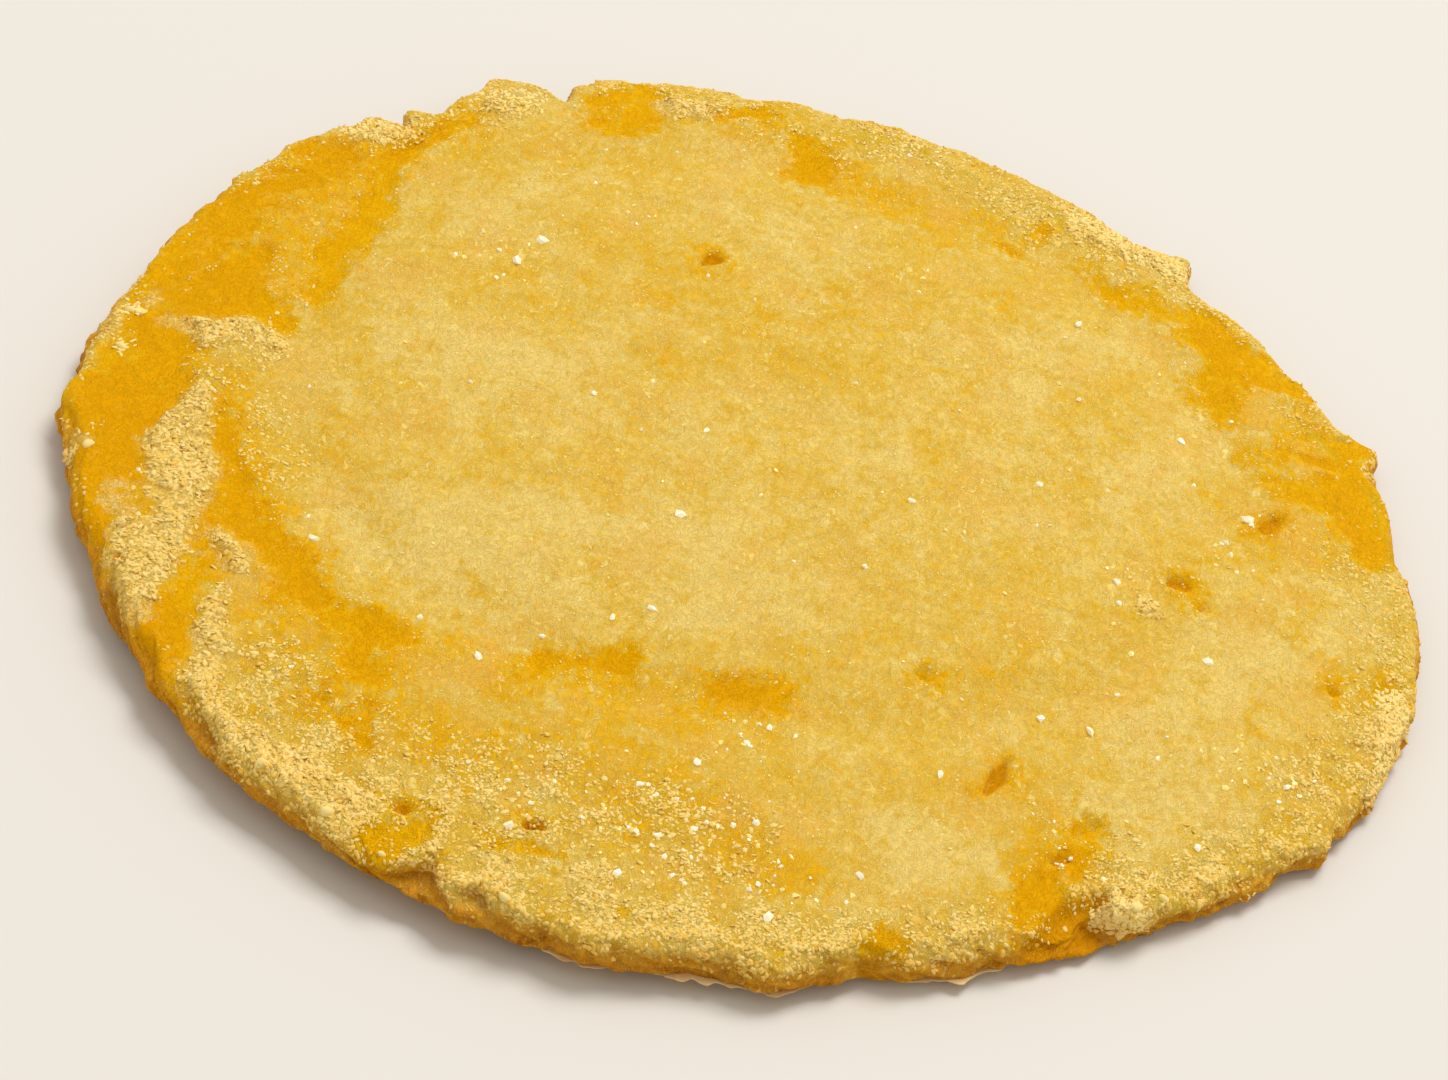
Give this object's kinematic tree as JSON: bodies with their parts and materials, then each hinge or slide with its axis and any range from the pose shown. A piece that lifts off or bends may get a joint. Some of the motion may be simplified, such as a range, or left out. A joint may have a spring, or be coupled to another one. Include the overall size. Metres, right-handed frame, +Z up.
{
  "type": "lemon cookie",
  "caption": "Thin round soft-baked lemon cookie with a crumbly sugared top, amber moist patches and a ragged, slightly curled edge.",
  "frame": {"origin": "centre of the flat underside that the cookie rests on", "axes": "+Z up through the cookie's thickness, -Y towards the viewer of the picture, +X to the viewer's right"},
  "size_m": [0.0757, 0.0759, 0.0043],
  "materials": {
    "lemon_crumb": "matt, moist golden crumb"
  },
  "bodies": {
    "root": {"lemon_cookie": "lemon_crumb"}
  },
  "joints": []
}
